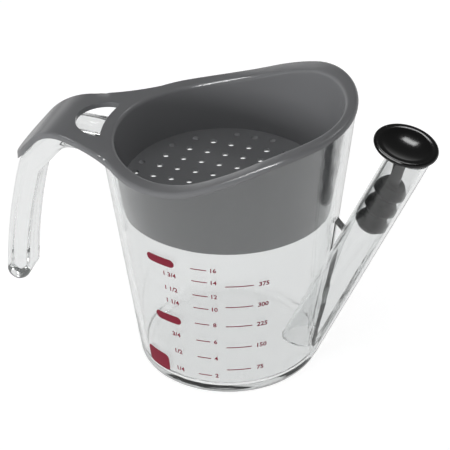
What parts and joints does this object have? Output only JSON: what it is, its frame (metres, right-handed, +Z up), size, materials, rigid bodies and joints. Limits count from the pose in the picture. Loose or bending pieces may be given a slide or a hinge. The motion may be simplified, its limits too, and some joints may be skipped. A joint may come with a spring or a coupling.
{
  "type": "gravy fat separator",
  "caption": "Clear measuring cup with a low slanted spout and a hook handle, a lift-off strainer whose heat shield covers the handle, and a pull-out spout stopper.",
  "frame": {"origin": "centre of the cup's base, on the surface it stands on", "axes": "+X towards the spout, -X towards the handle, +Z up; the XZ plane is the plane of symmetry"},
  "size_m": [0.2079, 0.1092, 0.137],
  "materials": {
    "clear_plastic": "clear, polished",
    "grey_plastic": "satin",
    "black_plastic": "gloss",
    "black_rubber": "smooth"
  },
  "bodies": {
    "cup": {"cup": "clear_plastic"},
    "strainer": {"strainer": "grey_plastic"},
    "stopper": {"stopper_knob": "black_plastic", "stopper_plug": "black_rubber"}
  },
  "joints": [
    {"name": "strainer_lift", "type": "slide", "parent": "cup", "child": "strainer", "axis": [0, 0, 1], "range_m": [0, 0.08]},
    {"name": "stopper_pull", "type": "slide", "parent": "cup", "child": "stopper", "axis": [0.4226, 0, 0.9063], "range_m": [0, 0.045]}
  ]
}
